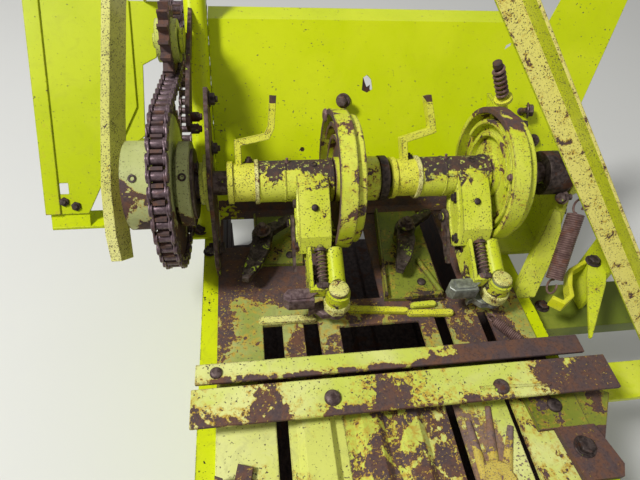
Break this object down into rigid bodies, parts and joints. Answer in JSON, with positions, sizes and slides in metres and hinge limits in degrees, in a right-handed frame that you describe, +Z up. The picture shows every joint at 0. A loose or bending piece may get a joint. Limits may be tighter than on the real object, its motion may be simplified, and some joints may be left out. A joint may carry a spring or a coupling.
{
  "type": "baler twin knotter unit on a chamber section",
  "caption": "Twin twine knotter unit with chain drive, guards and levers on a hollow section of a square baler's bale chamber.",
  "frame": {"origin": "underside of the chamber's floor, midway between the walls, under the knotter shaft", "axes": "+X along the knotter shaft away from its chain drive, +Y along the chamber towards the hood, +Z up"},
  "size_m": [1.062, 0.8273, 0.8536],
  "materials": {
    "flaked_lime": "lime paint flaked down to brown steel",
    "bright_lime": "smooth lime paint, lightly rusted at edges",
    "bare_steel": "bare brown rusted steel",
    "chain_steel": "oiled rusty chain",
    "cast_lime": "lime painted casting, worn",
    "bright_steel": "worn bright steel",
    "spring_steel": "rusty spring wire"
  },
  "bodies": {
    "frame": {"chamber_left_wall": "flaked_lime", "chamber_right_wall": "flaked_lime", "chamber_floor": "flaked_lime", "deck_front_plate": "flaked_lime", "deck_rear_tie": "flaked_lime", "deck_slat_left": "flaked_lime", "deck_slat_ridged": "flaked_lime", "deck_slat_corrugated": "flaked_lime", "deck_slat_fan": "flaked_lime", "deck_slat_right": "flaked_lime", "cross_angle_front": "flaked_lime", "cross_angle_rear": "flaked_lime", "guard_bar_rear": "flaked_lime", "guard_bar_front": "flaked_lime", "arch_guard": "flaked_lime", "diagonal_brace": "flaked_lime", "side_beam": "flaked_lime", "outrigger_bar": "flaked_lime", "channel_strut": "flaked_lime", "lever_post": "flaked_lime", "hook_lever": "flaked_lime", "blade_strut": "flaked_lime", "right_bearing_bracket": "flaked_lime", "driver_plate": "flaked_lime", "brake_bracket": "flaked_lime", "post_tube": "flaked_lime", "tucker_bracket_left": "flaked_lime", "tucker_bracket_right": "flaked_lime", "idler_arm": "flaked_lime", "deck_corner_bracket": "flaked_lime", "hood_panel": "bright_lime", "left_guard_panel": "bright_lime", "inner_guard_plate": "bright_lime", "knotter_sprocket": "cast_lime", "idler_sprocket": "cast_lime", "driver_sprocket": "cast_lime", "left_bearing": "cast_lime", "right_bearing": "cast_lime", "left_bearing_plate": "bare_steel", "clutch_latch": "bare_steel", "brake_rod": "bare_steel", "drive_chain": "chain_steel", "return_spring": "spring_steel", "latch_spring": "spring_steel"},
    "shaft": {"knotter_shaft": "bare_steel", "cam_wheel_left": "flaked_lime", "cam_wheel_right": "flaked_lime"},
    "knotter_left": {"knotter_frame_left": "cast_lime", "lift_lever_left": "flaked_lime"},
    "knotter_right": {"knotter_frame_right": "cast_lime", "lift_lever_right": "flaked_lime"},
    "bill_hook_left_body": {"bill_hook_left": "bright_steel"},
    "knife_arm_left_body": {"knife_arm_left": "bare_steel"},
    "twine_disc_left_body": {"twine_disc_left": "bright_steel"},
    "tucker_finger_left_body": {"tucker_finger_left": "bare_steel"},
    "bill_hook_right_body": {"bill_hook_right": "bright_steel"},
    "knife_arm_right_body": {"knife_arm_right": "bare_steel"},
    "twine_disc_right_body": {"twine_disc_right": "bright_steel"},
    "tucker_finger_right_body": {"tucker_finger_right": "bare_steel"}
  },
  "joints": [
    {"name": "shaft_spin", "type": "hinge", "parent": "frame", "child": "shaft", "pos_m": [0, 0, 0.508], "axis": [1, 0, 0], "continuous": true},
    {"name": "knotter_left_tilt", "type": "hinge", "parent": "frame", "child": "knotter_left", "pos_m": [-0.027, 0, 0.508], "axis": [-1, 0, 0], "range_deg": [0, 55]},
    {"name": "bill_hook_left_spin", "type": "hinge", "parent": "knotter_left", "child": "bill_hook_left_body", "pos_m": [-0.065, -0.155, 0.428], "axis": [0, 0, 1], "continuous": true},
    {"name": "knife_left_swing", "type": "hinge", "parent": "knotter_left", "child": "knife_arm_left_body", "pos_m": [-0.119, -0.038, 0.458], "axis": [-1, 0, 0], "range_deg": [0, 15]},
    {"name": "twine_disc_left_spin", "type": "hinge", "parent": "knotter_left", "child": "twine_disc_left_body", "pos_m": [-0.0895, -0.112, 0.424], "axis": [1, 0, 0], "continuous": true},
    {"name": "tucker_left_swing", "type": "hinge", "parent": "frame", "child": "tucker_finger_left_body", "pos_m": [-0.163, -0.006, 0.398], "axis": [0, 0, 1], "range_deg": [0, 60]},
    {"name": "knotter_right_tilt", "type": "hinge", "parent": "frame", "child": "knotter_right", "pos_m": [0.211, 0, 0.508], "axis": [-1, 0, 0], "range_deg": [0, 55]},
    {"name": "bill_hook_right_spin", "type": "hinge", "parent": "knotter_right", "child": "bill_hook_right_body", "pos_m": [0.173, -0.155, 0.428], "axis": [0, 0, 1], "continuous": true},
    {"name": "knife_right_swing", "type": "hinge", "parent": "knotter_right", "child": "knife_arm_right_body", "pos_m": [0.119, -0.038, 0.458], "axis": [-1, 0, 0], "range_deg": [0, 15]},
    {"name": "twine_disc_right_spin", "type": "hinge", "parent": "knotter_right", "child": "twine_disc_right_body", "pos_m": [0.1485, -0.112, 0.424], "axis": [1, 0, 0], "continuous": true},
    {"name": "tucker_right_swing", "type": "hinge", "parent": "frame", "child": "tucker_finger_right_body", "pos_m": [0.075, -0.006, 0.398], "axis": [0, 0, 1], "range_deg": [0, 60]}
  ]
}
